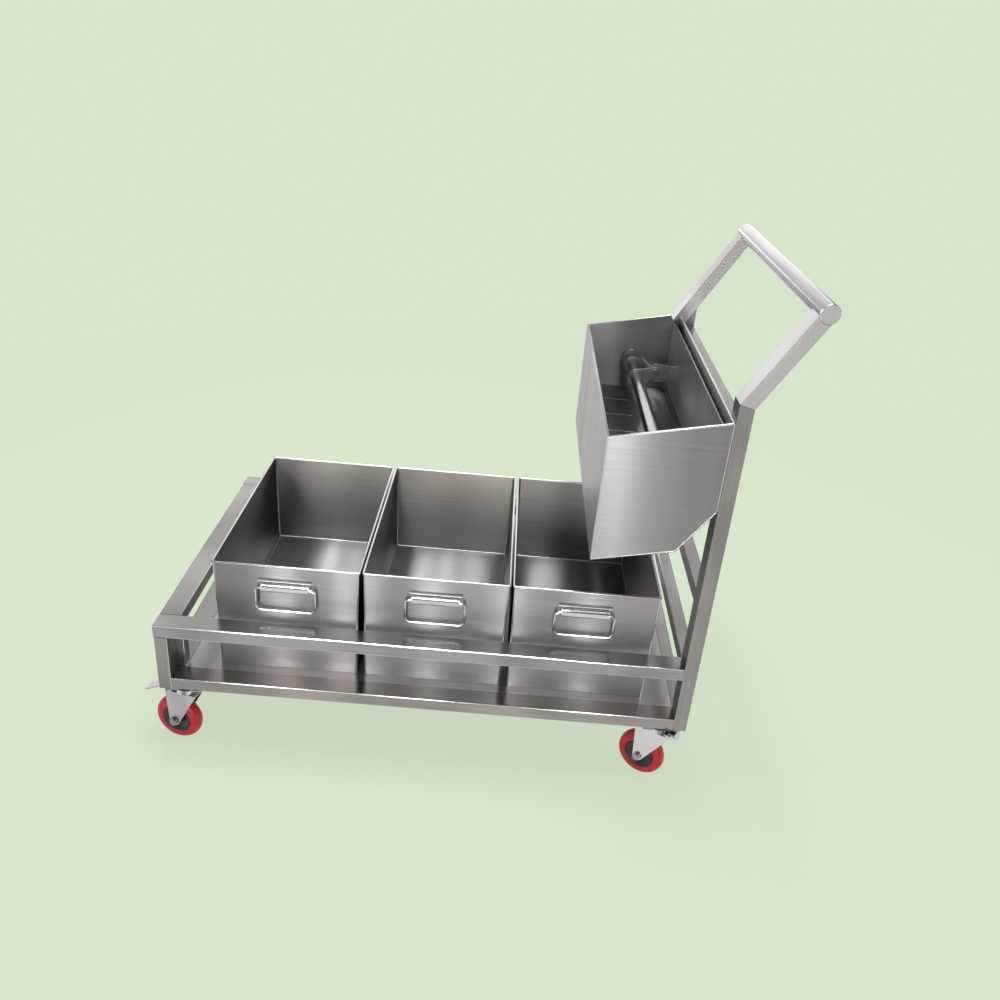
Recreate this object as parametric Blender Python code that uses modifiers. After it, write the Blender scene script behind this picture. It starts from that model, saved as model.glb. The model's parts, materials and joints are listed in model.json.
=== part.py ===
"""Mop trolley: a welded stainless frame on four swivel casters, with three lift-out bins,
a push bar on bent uprights and a toggle-press wringer hopper fixed to the uprights.

Metres, +Z up. +X runs along the platform to the push bar, +Y goes away from the side where the
bins show their handles, and the origin is on the floor under the middle of the whole trolley.
"""

import math

import bmesh
import bpy
from mathutils import Matrix, Vector

# Driving dimensions of the whole trolley
PLATFORM_LENGTH = 1.000
PLATFORM_WIDTH = 0.630
FRAME_HEIGHT = 0.142
CASTER_HEIGHT = 0.131
BEND_OVER_HOPPER = 0.032
ARM_LENGTH = 0.186
ARM_ANGLE = math.radians(59.25)
BIN_COUNT = 3
BIN_HEIGHT = 0.231
HOPPER_WIDTH = 0.200
HOPPER_RISE = 0.487
HOPPER_HEIGHT = 0.242
GAP = 0.0003
OVERRUN = 0.010

# Frame tube
TUBE = 0.025
TUBE_DEEP = 0.040
TUBE_WALL = 0.0015
TUBE_ROUND = 0.0015
SIDE_RAIL = 0.040

# Push bar and cross tubes
BAR_RADIUS = 0.016
BAR_WALL = 0.002
BAR_VENT = 0.0025
RIM_TUBE_DROP = 0.012
MID_TUBE_RISE = 0.150

# Deck
DECK_SHEET = 0.0015
DECK_DROP = 0.002
DECK_SIDE_GAP = 0.003
DECK_LIP = 0.020

# Bins
BIN_LEFT_CLEAR = 0.056
BIN_RIGHT_CLEAR = 0.051
BIN_FRONT_CLEAR = 0.018
BIN_BACK_CLEAR = 0.070
BIN_SPACING = 0.003
BIN_TAPER = 0.003
BIN_SHEET = 0.0015
BIN_HEM = 0.0035
BIN_HEM_HEIGHT = 0.005
BIN_FLOOR_RISE = 0.030
BIN_FLOOR = 0.0015

# Bin handles
HANDLE_DROP = 0.043
BARREL_LENGTH = 0.088
BARREL_RADIUS = 0.0072
BARREL_BORE = 0.0033
BARREL_STAND = 0.0095
CURL_RADIUS = 0.0025
CURL_LENGTH = 0.100
CURL_RISE = 0.0115
HANDLE_PLATE = 0.0015
BAIL_WIDTH = 0.116
BAIL_DROP = 0.048
BAIL_WIRE = 0.0029
BAIL_ROUND = 0.010
BAIL_ROUND_STEPS = 4

# Wringer hopper
HOPPER_SHEET = 0.002
HOPPER_HEM = 0.004
HOPPER_HEM_HEIGHT = 0.005
RIM_FALL = 0.041
CHAMFER_WIDTH = 0.058
CHAMFER_HEIGHT = 0.082
STRAINER_DEPTH = 0.176
STRAINER_SHEET = 0.002
DRAIN_SLOTS = 6
DRAIN_SLOT_WIDTH = 0.006
DRAIN_SLOT_LENGTH = 0.060
LEDGE_WIDTH = 0.034
LEDGE_DEPTH = 0.012
LEDGE_SHEET = 0.003

# Wringer shaft, crank, link and press plate
SHAFT_RADIUS = 0.013
SHAFT_FROM_RIGHT = 0.095
SHAFT_DROP = 0.108
SHAFT_TAIL = 0.026
COLLAR_RADIUS = 0.020
COLLAR_LENGTH = 0.008
COLLAR_PLAY = 0.0004
CRANK_RADIUS = 0.042
CRANK_ANGLE = math.radians(22.0)
CRANK_SHEET = 0.004
CRANK_EYE = 0.010
CRANK_RING = 0.0185
NEAR_CRANK_INSET = 0.135
FAR_CRANK_INSET = 0.045
PIN_RADIUS = 0.004
PIN_HEAD_RADIUS = 0.007
PIN_HEAD = 0.005
LINK_LENGTH = 0.032
LINK_SHEET = 0.004
LINK_HALF_HEIGHT = 0.0165
LINK_TAIL = 0.005
LINK_TAIL_HALF_HEIGHT = 0.012
LINK_PLAY = 0.0028
LINK_RISE_PLAY = 0.0017
PRESS_SHEET = 0.003
PRESS_GAP = 0.007
PRESS_TOP_DROP = 0.018
PRESS_END_GAP = 0.0006
PRESS_FOOT_RISE = 0.006
LUG_EYE = 0.0045
LUG_HALF_HEIGHT = 0.012
LUG_SHEET = 0.004
LUG_PIN_RADIUS = 0.003
LEVER_LENGTH = 0.300
LEVER_WIDTH = 0.026
LEVER_SHEET = 0.006
LEVER_EYE = 0.019

# Casters
WHEEL_RADIUS = 0.047
WHEEL_WIDTH = 0.026
TREAD_CROWN = 0.007
TREAD_STEPS = 6
HUB_RADIUS = 0.029
HUB_RIM = 0.0035
HUB_WEB = 0.012
HUB_BOSS = 0.011
CASTER_INSET = 0.048
CASTER_TRAIL = 0.024
PLATE_LENGTH = 0.066
PLATE_SHEET = 0.003
RACEWAY_RADIUS = 0.023
RACEWAY = 0.008
KINGPIN_RADIUS = 0.005
KINGPIN_HEAD_RADIUS = 0.009
KINGPIN_HEAD = 0.003
FORK_SHEET = 0.003
FORK_HALF_GAP = 0.0165
FORK_FRONT = 0.026
FORK_BACK = 0.014
FORK_BOSS = 0.010
FORK_EAR = 0.0063
FORK_EAR_HALF = 0.003
FORK_EAR_LEAD = 0.0005
AXLE_RADIUS = 0.004
AXLE_HEAD_RADIUS = 0.0065
AXLE_HEAD = 0.004
PEDAL_SHEET = 0.003
PEDAL_HALF_WIDTH = 0.011
PEDAL_PIN_RADIUS = 0.002
PEDAL_RING_CLEAR = 0.001
PEDAL_HEEL = 0.003
PEDAL_ROOM = 0.0021
TOE_PEDAL_REACH = 0.088
TOE_PEDAL_FLAT = 0.044
TOE_PEDAL_DIP = 0.024
STUB_LEVER_REACH = 0.043
STUB_LEVER_FLAT = 0.037
STUB_LEVER_DIP = 0.009
LEVER_BOLT_RADIUS = 0.0045
LEVER_BOLT_BACK = 0.0065
LEVER_BOLT_DROP = 0.005
LEVER_BOLT_HEAD = 0.002
CASTER_TURNS = {"front_left": 14.0, "front_right": 32.0, "back_left": 8.0, "back_right": 24.0}

ROUND_STEPS = 32
SMALL_STEPS = 18
SMOOTH_BELOW = 21.0

# Places that follow from the sizes
BASE = CASTER_HEIGHT
RAIL_TOP = BASE + FRAME_HEIGHT
BAR_SHIFT_X = ARM_LENGTH * math.cos(ARM_ANGLE) + TUBE / 2 * math.sin(ARM_ANGLE)
TOE_TURN = math.radians(CASTER_TURNS["back_left"])
TOE_SLOPE = math.atan2(TOE_PEDAL_DIP, TOE_PEDAL_REACH - TOE_PEDAL_FLAT)
TOE_TIP = TOE_PEDAL_REACH + PEDAL_SHEET / 2 * math.sin(TOE_SLOPE)
TOE_OVERHANG = TOE_TIP * math.cos(TOE_TURN) + PEDAL_HALF_WIDTH * math.sin(TOE_TURN) - CASTER_INSET
STUB_TURN = math.radians(CASTER_TURNS["front_right"])
STUB_SLOPE = math.atan2(STUB_LEVER_DIP, STUB_LEVER_REACH - STUB_LEVER_FLAT)
STUB_TIP = STUB_LEVER_REACH + PEDAL_SHEET / 2 * math.sin(STUB_SLOPE)
STUB_BOLT = STUB_LEVER_REACH - LEVER_BOLT_BACK + LEVER_BOLT_RADIUS
STUB_SIDE = PEDAL_HALF_WIDTH + LEVER_BOLT_HEAD
STUB_OUT = max(
    STUB_TIP * math.sin(STUB_TURN) + PEDAL_HALF_WIDTH * math.cos(STUB_TURN),
    STUB_BOLT * math.sin(STUB_TURN) + STUB_SIDE * math.cos(STUB_TURN),
)
STUB_OVERHANG = STUB_OUT - TUBE_DEEP / 2
BAR_OVERHANG = BAR_SHIFT_X - TUBE + BAR_RADIUS
LEFT = (TOE_OVERHANG - BAR_OVERHANG - PLATFORM_LENGTH) / 2
RIGHT = LEFT + PLATFORM_LENGTH
FRONT = (STUB_OVERHANG - SHAFT_TAIL - PLATFORM_WIDTH) / 2
BACK = FRONT + PLATFORM_WIDTH
UPRIGHT_LEFT = RIGHT - TUBE
HOPPER_TOP = RAIL_TOP + HOPPER_RISE
HALF_BEND = (math.pi / 2 - ARM_ANGLE) / 2
BEND = Vector((UPRIGHT_LEFT, 0, HOPPER_TOP + BEND_OVER_HOPPER))
ARM_RUN = Vector((math.cos(ARM_ANGLE), 0, math.sin(ARM_ANGLE)))
ARM_DOWN = Vector((math.sin(ARM_ANGLE), 0, -math.cos(ARM_ANGLE)))
BAR_CENTRE = BEND + ARM_RUN * ARM_LENGTH + ARM_DOWN * (TUBE / 2)
HOPPER_RIGHT = UPRIGHT_LEFT - GAP
HOPPER_LEFT = HOPPER_RIGHT - HOPPER_WIDTH
SHAFT_X = HOPPER_RIGHT - SHAFT_FROM_RIGHT
SHAFT_Z = HOPPER_TOP - SHAFT_DROP
DECK_TOP = BASE + TUBE - DECK_DROP

for old in list(bpy.data.objects):
    bpy.data.objects.remove(old, do_unlink=True)

PARTS = bpy.data.collections.new("mop_trolley")
CUTTERS = bpy.data.collections.new("cutters")
bpy.context.scene.collection.children.link(PARTS)
bpy.context.scene.collection.children.link(CUTTERS)


def finish(name, colour, roughness, metallic):
    """A plain Principled material."""
    material = bpy.data.materials.new(name)
    material.use_nodes = True
    shader = material.node_tree.nodes["Principled BSDF"]
    shader.inputs["Base Color"].default_value = (*colour, 1.0)
    shader.inputs["Roughness"].default_value = roughness
    shader.inputs["Metallic"].default_value = metallic
    return material


BRUSHED = finish("brushed_stainless", (0.55, 0.53, 0.51), 0.32, 1.0)
POLISHED = finish("polished_stainless", (0.70, 0.70, 0.71), 0.18, 1.0)
ZINC = finish("zinc_plated_steel", (0.58, 0.60, 0.61), 0.38, 1.0)
RED_TYRE = finish("red_polyurethane", (0.55, 0.02, 0.03), 0.35, 0.0)
BLACK_HUB = finish("black_nylon", (0.02, 0.02, 0.02), 0.45, 0.0)


def add_part(name, mesh, material, pivot=None):
    """Put a mesh in the trolley's collection, with its origin at the pivot if there is one."""
    pivot = pivot or Vector((0, 0, 0))
    mesh.transform(Matrix.Translation(-pivot))
    mesh.name = name
    mesh.materials.clear()
    mesh.materials.append(material)
    mesh.shade_smooth()
    mesh.set_sharp_from_angle(angle=math.radians(SMOOTH_BELOW))
    part = bpy.data.objects.new(name, mesh)
    PARTS.objects.link(part)
    part.location = pivot
    return part


def combine(part, mesh, operation):
    """Cut a mesh from a part, or join it on, with a hidden tool object."""
    tool = bpy.data.objects.new(part.name + "_" + operation.lower(), mesh)
    CUTTERS.objects.link(tool)
    tool.hide_render = True
    tool.display_type = "WIRE"
    boolean = part.modifiers.new(operation.title(), "BOOLEAN")
    boolean.operation = operation
    boolean.solver = "EXACT"
    boolean.object = tool


def hang(part, parent):
    """Apply a part's Booleans where it was shaped, then hang it on its turned parent."""
    bpy.context.view_layer.update()
    shaped = part.evaluated_get(bpy.context.evaluated_depsgraph_get())
    mesh = bpy.data.meshes.new_from_object(shaped)
    for boolean in part.modifiers:
        bpy.data.objects.remove(boolean.object, do_unlink=True)
    part.modifiers.clear()
    part.data = mesh
    part.parent = parent


def mesh_from(bm):
    """Turn a bmesh into a mesh."""
    mesh = bpy.data.meshes.new("shape")
    bm.to_mesh(mesh)
    bm.free()
    return mesh


def box_mesh(low, high, along=None, rounding=TUBE_ROUND):
    """A box between two corners. Edges that run along the given axis are rounded."""
    low = Vector(low)
    high = Vector(high)
    bm = bmesh.new()
    place = Matrix.Translation((low + high) / 2) @ Matrix.Diagonal((*(high - low), 1.0))
    bmesh.ops.create_cube(bm, size=1.0, matrix=place)
    if along is not None:
        long_edges = []
        for edge in bm.edges:
            run = edge.verts[1].co - edge.verts[0].co
            if abs(run[along]) == max(abs(value) for value in run):
                long_edges.append(edge)
        bmesh.ops.bevel(
            bm, geom=long_edges, offset=rounding, offset_type="OFFSET", segments=2,
            profile=0.5, affect="EDGES", material=-1,
        )
    return mesh_from(bm)


def rod_mesh(start, end, radius, steps=ROUND_STEPS):
    """A cylinder between two points."""
    start = Vector(start)
    end = Vector(end)
    run = end - start
    turn = Vector((0, 0, 1)).rotation_difference(run).to_matrix().to_4x4()
    bm = bmesh.new()
    bmesh.ops.create_cone(
        bm, cap_ends=True, segments=steps, radius1=radius, radius2=radius, depth=run.length,
        matrix=Matrix.Translation((start + end) / 2) @ turn,
    )
    return mesh_from(bm)


def bar_mesh(place, y_low, y_high, radius, steps=ROUND_STEPS):
    """A cylinder along Y through a place in X and Z."""
    return rod_mesh((place[0], y_low, place[1]), (place[0], y_high, place[1]), radius, steps)


def flat_mesh(outline, z_low, z_high):
    """A flat outline in X and Y, given as points, extruded between two heights."""
    curve = bpy.data.curves.new("outline", "CURVE")
    curve.dimensions = "2D"
    curve.fill_mode = "BOTH"
    curve.extrude = (z_high - z_low) / 2
    spline = curve.splines.new("POLY")
    spline.points.add(len(outline) - 1)
    for point, (x, y) in zip(spline.points, outline):
        point.co = (x, y, 0, 1)
    spline.use_cyclic_u = True
    flat = bpy.data.objects.new("outline", curve)
    flat.location = (0, 0, (z_low + z_high) / 2)
    CUTTERS.objects.link(flat)
    bpy.context.view_layer.update()
    mesh = bpy.data.meshes.new_from_object(flat.evaluated_get(bpy.context.evaluated_depsgraph_get()))
    bm = bmesh.new()
    bm.from_mesh(mesh)
    bmesh.ops.transform(bm, matrix=flat.matrix_world, verts=bm.verts)
    bmesh.ops.remove_doubles(bm, verts=bm.verts, dist=GAP / 10)
    bmesh.ops.recalc_face_normals(bm, faces=bm.faces)
    bm.to_mesh(mesh)
    bm.free()
    bpy.data.objects.remove(flat, do_unlink=True)
    return mesh


def plate_mesh(outline, y_low, y_high):
    """A flat outline in X and Z, extruded between two places along Y."""
    mesh = flat_mesh(outline, -y_high, -y_low)
    mesh.transform(Matrix.Rotation(math.pi / 2, 4, "X"))
    return mesh


def strip_outline(path, thickness):
    """The outline of a flat bar seen on its edge, bent along the points of its middle line."""
    path = [Vector(point) for point in path]
    runs = [(end - start).normalized() for start, end in zip(path, path[1:])]
    sides = [Vector((-run.y, run.x)) for run in runs]
    offsets = []
    for before, after in zip(sides[:1] + sides, sides + sides[-1:]):
        across = (before + after).normalized()
        offsets.append(across * (thickness / 2 / across.dot(after)))
    outline = [point - offset for point, offset in zip(path, offsets)]
    outline += [point + offset for point, offset in reversed(list(zip(path, offsets)))]
    return outline


def arc(centre, radius, start, end, steps):
    """Points along an arc, angles in degrees from +X towards +Z."""
    points = []
    for step in range(steps + 1):
        angle = math.radians(start + (end - start) * step / steps)
        points.append((centre[0] + radius * math.cos(angle), centre[1] + radius * math.sin(angle)))
    return points


def turned(name, profile, material, location, parent):
    """A ring about an axis along Y, from a closed profile of (radius, place) points."""
    bm = bmesh.new()
    points = [bm.verts.new((radius, 0, place)) for radius, place in profile]
    for first, second in zip(points, points[1:] + points[:1]):
        bm.edges.new((first, second))
    part = add_part(name, mesh_from(bm), material)
    part.parent = parent
    part.location = location
    part.rotation_euler = (math.pi / 2, 0, 0)
    screw = part.modifiers.new("Turn", "SCREW")
    screw.steps = ROUND_STEPS
    screw.render_steps = ROUND_STEPS
    screw.use_merge_vertices = True
    screw.merge_threshold = GAP / 10
    return part


def frame_tube(name, low, high, along, closed=(False, False)):
    """A hollow box tube. An end is open where it is welded against its neighbour."""
    part = add_part(name, box_mesh(low, high, along), BRUSHED)
    inner_low = [value + TUBE_WALL for value in low]
    inner_high = [value - TUBE_WALL for value in high]
    if not closed[0]:
        inner_low[along] = low[along] - OVERRUN
    if not closed[1]:
        inner_high[along] = high[along] + OVERRUN
    combine(part, box_mesh(inner_low, inner_high), "DIFFERENCE")
    return part


def build_platform():
    """The two rail rings, their corner posts and the deck sheet between the lower rails."""
    long_right = UPRIGHT_LEFT - GAP
    near = FRONT + TUBE_DEEP
    far = BACK - TUBE_DEEP
    upper = RAIL_TOP - TUBE
    for side, y_low in (("front", FRONT), ("back", far)):
        y_high = y_low + TUBE_DEEP
        frame_tube(side + "_upper_rail", (LEFT, y_low, upper), (long_right, y_high, RAIL_TOP), 0,
                   (True, False))
        frame_tube(side + "_lower_rail", (LEFT + TUBE + GAP, y_low, BASE),
                   (long_right, y_high, BASE + TUBE), 0)
        frame_tube("left_" + side + "_post", (LEFT, y_low, BASE), (LEFT + TUBE, y_high, upper - GAP),
                   2, (True, False))
    for side, x_low, x_high in (("left", LEFT, LEFT + SIDE_RAIL), ("right", UPRIGHT_LEFT, RIGHT)):
        for level, z_low in (("upper", upper), ("lower", BASE)):
            frame_tube(side + "_" + level + "_rail", (x_low, near + GAP, z_low),
                       (x_high, far - GAP, z_low + TUBE), 1)
    post_low = BASE + TUBE + GAP
    for side, y_low in (("front", near + GAP), ("back", far - GAP - TUBE)):
        frame_tube("left_" + side + "_side_post", (LEFT, y_low, post_low),
                   (LEFT + SIDE_RAIL, y_low + TUBE, upper - GAP), 2)

    deck_left = LEFT + SIDE_RAIL + DECK_SIDE_GAP
    deck_right = UPRIGHT_LEFT - DECK_SIDE_GAP
    deck = add_part("deck_sheet", box_mesh((deck_left, near + GAP, DECK_TOP - DECK_LIP),
                                           (deck_right, far - GAP, DECK_TOP)), BRUSHED)
    hollow = box_mesh((deck_left - OVERRUN, near + GAP + DECK_SHEET, DECK_TOP - DECK_LIP - OVERRUN),
                      (deck_right + OVERRUN, far - GAP - DECK_SHEET, DECK_TOP - DECK_SHEET))
    combine(deck, hollow, "DIFFERENCE")


def inset_tube(name, outline, bore, y_low):
    """A tube cut square across Y from an outline, hollow along a second outline."""
    part = add_part(name, plate_mesh(outline, y_low, y_low + TUBE_DEEP), BRUSHED)
    combine(part, plate_mesh(bore, y_low + TUBE_WALL, y_low + TUBE_DEEP - TUBE_WALL), "DIFFERENCE")
    return part


def flat_points(*points):
    """The X and Z of some places, as an outline."""
    return [(point.x, point.z) for point in points]


def arm_feet(heel, toe):
    """The rear arm's foot on the hopper's sloping rim, from the lines of its lower and upper edge."""
    slope = RIM_FALL / HOPPER_WIDTH
    rise = math.tan(ARM_ANGLE)
    feet = []
    for start in (heel, toe):
        rim_z = HOPPER_TOP + GAP - slope * (HOPPER_RIGHT - start.x)
        feet.append(start - ARM_RUN * ((start.z - rim_z) / (rise - slope) / ARM_RUN.x))
    if feet[0].x > UPRIGHT_LEFT:
        # The heel comes down beside the hopper, so it fills the corner over the cut upright
        under = heel - ARM_RUN * ((heel.x - UPRIGHT_LEFT) / ARM_RUN.x)
        rim = Vector((UPRIGHT_LEFT, 0, HOPPER_TOP + GAP + slope * GAP))
        feet = [under, rim, feet[1]]
    return feet


def build_uprights():
    """Uprights, the mitred arms above them, the push bar and the two cross tubes."""
    joint = BEND + Vector((TUBE, 0, -TUBE * math.tan(HALF_BEND)))
    under = BEND - Vector((0, 0, TUBE / math.cos(ARM_ANGLE)))
    arm_end = BEND + ARM_RUN * ARM_LENGTH
    past = ARM_RUN * (ARM_LENGTH + OVERRUN)
    upper = ARM_DOWN * TUBE_WALL
    lower = ARM_DOWN * (TUBE - TUBE_WALL)
    arm_bore = flat_points(BEND + upper - past, BEND + upper + past,
                           BEND + lower + past, BEND + lower - past)
    post_bore = [(UPRIGHT_LEFT + TUBE_WALL, BASE + TUBE_WALL), (RIGHT - TUBE_WALL, BASE + TUBE_WALL),
                 (RIGHT - TUBE_WALL, BEND.z + OVERRUN), (UPRIGHT_LEFT + TUBE_WALL, BEND.z + OVERRUN)]
    clear = Vector((0, 0, -GAP / math.cos(ARM_ANGLE)))
    bar_place = (BAR_CENTRE.x, BAR_CENTRE.z)
    # The rear arm runs on past the bend, down to the hopper's rim, and the upright is cut under it
    for side, y_low, shoulder, feet in (
        ("front", FRONT, BEND, (joint, BEND)),
        ("back", BACK - TUBE_DEEP, under, arm_feet(BEND + ARM_DOWN * TUBE, BEND)),
    ):
        post = [(UPRIGHT_LEFT, BASE), (RIGHT, BASE)] + flat_points(joint + clear, shoulder + clear)
        inset_tube(side + "_upright", post, post_bore, y_low)
        arm = flat_points(arm_end, arm_end + ARM_DOWN * TUBE, *feet)
        tube = inset_tube(side + "_arm", arm, arm_bore, y_low)
        combine(tube, bar_mesh(bar_place, y_low - OVERRUN, y_low + TUBE_DEEP + OVERRUN, BAR_RADIUS + GAP),
                "DIFFERENCE")

    bar = add_part("push_bar", bar_mesh(bar_place, FRONT, BACK, BAR_RADIUS), POLISHED)
    combine(bar, bar_mesh(bar_place, FRONT + BAR_WALL, BACK - BAR_WALL, BAR_RADIUS - BAR_WALL), "DIFFERENCE")
    vent_y = FRONT + TUBE_DEEP * 2
    combine(bar, rod_mesh((BAR_CENTRE.x, vent_y, BAR_CENTRE.z - BAR_RADIUS - OVERRUN),
                          (BAR_CENTRE.x, vent_y, BAR_CENTRE.z - BAR_RADIUS / 2), BAR_VENT, SMALL_STEPS),
            "DIFFERENCE")

    near = FRONT + TUBE_DEEP + GAP
    far = BACK - TUBE_DEEP - GAP
    rim_top = HOPPER_TOP - RIM_TUBE_DROP
    frame_tube("rim_cross_tube", (UPRIGHT_LEFT, near, rim_top - TUBE), (RIGHT, far, rim_top), 1)
    mid_top = RAIL_TOP + MID_TUBE_RISE
    frame_tube("middle_cross_tube", (UPRIGHT_LEFT, near, mid_top - TUBE), (RIGHT, far, mid_top), 1)


def tapered_mesh(low, high, taper):
    """A box whose bottom is drawn in by the taper on all four sides."""
    mesh = box_mesh(low, high)
    middle = (Vector(low) + Vector(high)) / 2
    for vertex in mesh.vertices:
        if vertex.co.z < middle.z:
            vertex.co.x += math.copysign(taper, middle.x - vertex.co.x)
            vertex.co.y += math.copysign(taper, middle.y - vertex.co.y)
    return mesh


def build_bin(number, x_low, x_high):
    """One lift-out bin with its hemmed rim, its handle bracket and the bail wire."""
    name = "bin_" + str(number)
    y_low = FRONT + TUBE_DEEP + BIN_FRONT_CLEAR
    y_high = BACK - TUBE_DEEP - BIN_BACK_CLEAR
    z_low = DECK_TOP + GAP
    z_high = z_low + BIN_HEIGHT
    hem_low = z_high - BIN_HEM_HEIGHT
    floor_top = z_low + BIN_FLOOR_RISE
    lip = BIN_HEM - BIN_SHEET
    skin_x = (x_low + lip, x_high - lip)
    skin_y = (y_low + lip, y_high - lip)
    shell = add_part(name, tapered_mesh((skin_x[0], skin_y[0], z_low), (skin_x[1], skin_y[1], z_high),
                                        BIN_TAPER), BRUSHED)
    combine(shell, box_mesh((x_low, y_low, hem_low), (x_high, y_high, z_high - GAP)), "UNION")

    def room(bottom, top):
        # The inside at a level keeps the sheet's thickness from the sloping skin
        slope = BIN_TAPER / BIN_HEIGHT
        at_low = slope * (z_high - bottom) + BIN_SHEET
        at_high = slope * (z_high - top) + BIN_SHEET
        return tapered_mesh((skin_x[0] + at_high, skin_y[0] + at_high, bottom),
                            (skin_x[1] - at_high, skin_y[1] - at_high, top), at_low - at_high)

    combine(shell, room(floor_top, z_high + OVERRUN), "DIFFERENCE")
    combine(shell, room(z_low - OVERRUN, floor_top - BIN_FLOOR), "DIFFERENCE")

    axis_z = z_high - HANDLE_DROP
    face_y = skin_y[0] + BIN_TAPER * HANDLE_DROP / BIN_HEIGHT - GAP
    axis_y = face_y - BARREL_STAND
    middle = (x_low + x_high) / 2
    half = BARREL_LENGTH / 2
    plate_low = axis_z - BARREL_RADIUS
    plate_high = axis_z + CURL_RISE
    blank = box_mesh((middle - half, axis_y, plate_low), (middle + half, face_y - GAP, plate_high))
    bracket = add_part(name + "_handle_bracket", blank, POLISHED)
    # The bracket's back leans with the bin's wall; its front is cut to a plate, a web and a barrel
    behind = face_y - HANDLE_PLATE
    combine(bracket, box_mesh((middle - half - OVERRUN, axis_y - OVERRUN, axis_z + BARREL_RADIUS / 2),
                              (middle + half + OVERRUN, behind, plate_high + OVERRUN)), "DIFFERENCE")
    combine(bracket, box_mesh((middle - half - OVERRUN, axis_y - OVERRUN, plate_low - OVERRUN),
                              (middle + half + OVERRUN, behind, axis_z - BARREL_RADIUS / 2)), "DIFFERENCE")
    combine(bracket, rod_mesh((middle - half, axis_y, axis_z), (middle + half, axis_y, axis_z),
                              BARREL_RADIUS, SMALL_STEPS), "UNION")
    curl = CURL_LENGTH / 2
    curl_z = plate_high
    curl_y = face_y - GAP - CURL_RADIUS
    combine(bracket, rod_mesh((middle - curl, curl_y, curl_z), (middle + curl, curl_y, curl_z),
                              CURL_RADIUS, SMALL_STEPS), "UNION")
    combine(bracket, rod_mesh((middle - half - OVERRUN, axis_y, axis_z),
                              (middle + half + OVERRUN, axis_y, axis_z), BARREL_BORE, SMALL_STEPS),
            "DIFFERENCE")

    side = BAIL_WIDTH / 2 - BAIL_WIRE
    bottom = axis_z - BAIL_DROP
    outline = []
    for x, z, start in ((side, axis_z, 90), (side, bottom, 0), (-side, bottom, -90), (-side, axis_z, -180)):
        centre = (middle + x - math.copysign(BAIL_ROUND, x),
                  z + (BAIL_ROUND if z == bottom else -BAIL_ROUND))
        outline += arc(centre, BAIL_ROUND, start, start - 90, BAIL_ROUND_STEPS)
    wire = bpy.data.curves.new("bail", "CURVE")
    wire.dimensions = "3D"
    wire.bevel_depth = BAIL_WIRE
    wire.bevel_resolution = 2
    spline = wire.splines.new("POLY")
    spline.points.add(len(outline) - 1)
    for point, (x, z) in zip(spline.points, outline):
        point.co = (x - middle, 0, z - axis_z, 1)
    spline.use_cyclic_u = True
    wire.materials.append(POLISHED)
    bail = bpy.data.objects.new(name + "_bail", wire)
    bail.location = (middle, axis_y, axis_z)
    PARTS.objects.link(bail)


def build_bins():
    """Three bins side by side, shared out over the room between the side rails."""
    room_low = LEFT + SIDE_RAIL + BIN_LEFT_CLEAR
    room_high = UPRIGHT_LEFT - BIN_RIGHT_CLEAR
    pitch = (room_high - room_low + BIN_SPACING) / BIN_COUNT
    for number in range(BIN_COUNT):
        x_low = room_low + pitch * number
        build_bin(number + 1, x_low, x_low + pitch - BIN_SPACING)


def chamfer_x(z, wall):
    """Where the hopper's slanted wall lies at a height, measured a wall's thickness inside it."""
    start_z = HOPPER_TOP - (HOPPER_HEIGHT - CHAMFER_HEIGHT)
    slant = math.hypot(CHAMFER_WIDTH, CHAMFER_HEIGHT)
    across = wall * slant / CHAMFER_HEIGHT
    return HOPPER_RIGHT - across - (start_z - z) * CHAMFER_WIDTH / CHAMFER_HEIGHT


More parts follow.
